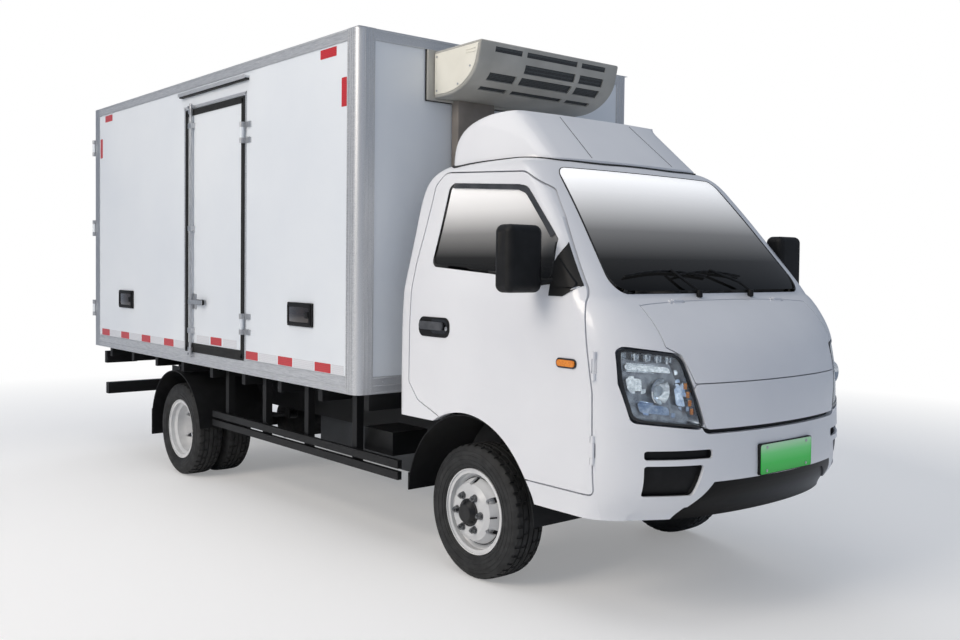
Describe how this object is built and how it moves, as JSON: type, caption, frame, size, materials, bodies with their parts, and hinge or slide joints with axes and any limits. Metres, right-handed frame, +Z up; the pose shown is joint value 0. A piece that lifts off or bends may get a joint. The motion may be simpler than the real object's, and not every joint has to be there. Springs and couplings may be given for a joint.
{
  "type": "refrigerated truck",
  "caption": "Two-axle light truck with a short-nosed cab, roof air deflector, insulated cargo box with a side door and rear doors, and a refrigeration unit on its front wall",
  "frame": {"origin": "on the ground at the middle of the vehicle's length and width", "axes": "+X forwards, +Y to the vehicle's left, +Z up"},
  "size_m": [5.7645, 2.18, 2.7419],
  "materials": {
    "chassis": "satin black paint",
    "axle": "as cast, dark",
    "spring_steel": "dark paint",
    "battery_case": "powder coat",
    "tyre": "moulded rubber",
    "wheel_steel": "light grey enamel",
    "cab_paint": "gloss white",
    "glass": "tinted, clear",
    "lamp": "clear lens over bright reflector",
    "tail_lamp": "red lens",
    "black_plastic": "grained",
    "box_panel": "smooth white laminate",
    "aluminium": "anodised",
    "stainless": "brushed",
    "unit_shell": "warm white",
    "seat_fabric": "woven",
    "dash_plastic": "grained"
  },
  "bodies": {
    "chassis": {"front_axle": "axle", "rear_axle": "axle", "leaf_springs": "spring_steel", "chassis_frame": "chassis", "box_bearers": "chassis", "battery_pack": "battery_case", "service_box": "chassis", "side_guards": "aluminium", "underrun_guard": "chassis", "tail_lamps": "tail_lamp", "mudguards": "black_plastic", "front_bumper": "cab_paint", "bumper_valance": "black_plastic", "headlamps": "lamp", "front_panel": "cab_paint", "cab_shell": "cab_paint", "windscreen": "glass", "roof_fairing": "cab_paint", "box_wall_right": "box_panel", "box_wall_left": "box_panel", "box_front_wall": "box_panel", "box_roof": "box_panel", "box_floor": "aluminium", "box_edge_trim": "aluminium", "rear_portal": "stainless", "side_hinges": "stainless", "vent_hatches": "black_plastic", "refrigeration_unit": "unit_shell", "evaporator": "unit_shell", "dashboard": "dash_plastic", "seats": "seat_fabric", "wipers": "black_plastic"},
    "knuckle_left_body": {"knuckle_left": "axle"},
    "knuckle_right_body": {"knuckle_right": "axle"},
    "tie_rod_body": {"tie_rod": "spring_steel"},
    "wheel_front_left": {"tyre_front_left": "tyre", "rim_front_left": "wheel_steel"},
    "wheel_front_right": {"tyre_front_right": "tyre", "rim_front_right": "wheel_steel"},
    "wheel_rear_left": {"tyre_rear_left": "tyre", "rim_rear_left": "wheel_steel"},
    "wheel_rear_right": {"tyre_rear_right": "tyre", "rim_rear_right": "wheel_steel"},
    "hood_body": {"hood": "cab_paint"},
    "steering_wheel_body": {"steering_wheel": "black_plastic"},
    "door_left_body": {"cab_door_left": "cab_paint", "door_glass_left": "glass", "mirror_left": "black_plastic"},
    "door_right_body": {"cab_door_right": "cab_paint", "door_glass_right": "glass", "mirror_right": "black_plastic"},
    "side_door_body": {"side_door": "box_panel", "side_door_lock": "stainless"},
    "rear_left_body": {"rear_door_left": "box_panel", "rear_lock_left": "stainless"},
    "rear_right_body": {"rear_door_right": "box_panel", "rear_lock_right": "stainless"}
  },
  "joints": [
    {"name": "steer_left", "type": "hinge", "parent": "chassis", "child": "knuckle_left_body", "pos_m": [1.6875, 0.605, 0.327], "axis": [0, 0, 1], "range_deg": [-35, 35]},
    {"name": "steer_right", "type": "hinge", "parent": "chassis", "child": "knuckle_right_body", "pos_m": [1.6875, -0.605, 0.327], "axis": [0, 0, 1], "range_deg": [-35, 35]},
    {"name": "tie_rod_pivot", "type": "hinge", "parent": "knuckle_left_body", "child": "tie_rod_body", "pos_m": [1.5375, 0.605, 0.2534], "axis": [0, 0, 1], "range_deg": [-35, 35]},
    {"name": "steering_wheel_turn", "type": "hinge", "parent": "chassis", "child": "steering_wheel_body", "pos_m": [2.0975, 0.4, 1.29], "axis": [-0.7431, 0, 0.6691], "range_deg": [-560, 560]},
    {"name": "spin_front_left", "type": "hinge", "parent": "knuckle_left_body", "child": "wheel_front_left", "pos_m": [1.6875, 0.7, 0.327], "axis": [0, 1, 0], "continuous": true},
    {"name": "spin_front_right", "type": "hinge", "parent": "knuckle_right_body", "child": "wheel_front_right", "pos_m": [1.6875, -0.7, 0.327], "axis": [0, 1, 0], "continuous": true},
    {"name": "spin_rear_left", "type": "hinge", "parent": "chassis", "child": "wheel_rear_left", "pos_m": [-1.4175, 0.7235, 0.327], "axis": [0, 1, 0], "continuous": true},
    {"name": "spin_rear_right", "type": "hinge", "parent": "chassis", "child": "wheel_rear_right", "pos_m": [-1.4175, -0.7235, 0.327], "axis": [0, 1, 0], "continuous": true},
    {"name": "hood_lid", "type": "hinge", "parent": "chassis", "child": "hood_body", "pos_m": [2.577, 0, 1.374], "axis": [0, -1, 0], "range_deg": [0, 48]},
    {"name": "cab_door_left_hinge", "type": "hinge", "parent": "chassis", "child": "door_left_body", "pos_m": [2.533, 0.853, 1], "axis": [0, 0, -1], "range_deg": [0, 68]},
    {"name": "cab_door_right_hinge", "type": "hinge", "parent": "chassis", "child": "door_right_body", "pos_m": [2.533, -0.853, 1], "axis": [0, 0, 1], "range_deg": [0, 68]},
    {"name": "side_door_hinge", "type": "hinge", "parent": "chassis", "child": "side_door_body", "pos_m": [-0.2255, -1.05, 1.7], "axis": [0, 0, 1], "range_deg": [0, 165]},
    {"name": "rear_door_left_hinge", "type": "hinge", "parent": "chassis", "child": "rear_left_body", "pos_m": [-2.8525, 1.036, 1.7], "axis": [0, 0, -1], "range_deg": [0, 255]},
    {"name": "rear_door_right_hinge", "type": "hinge", "parent": "chassis", "child": "rear_right_body", "pos_m": [-2.8525, -1.036, 1.7], "axis": [0, 0, 1], "range_deg": [0, 255]}
  ],
  "couplings": [
    {"joint": "steer_right", "follows": "steer_left", "ratio": 1},
    {"joint": "tie_rod_pivot", "follows": "steer_left", "ratio": -1},
    {"joint": "steering_wheel_turn", "follows": "steer_left", "ratio": 16}
  ]
}
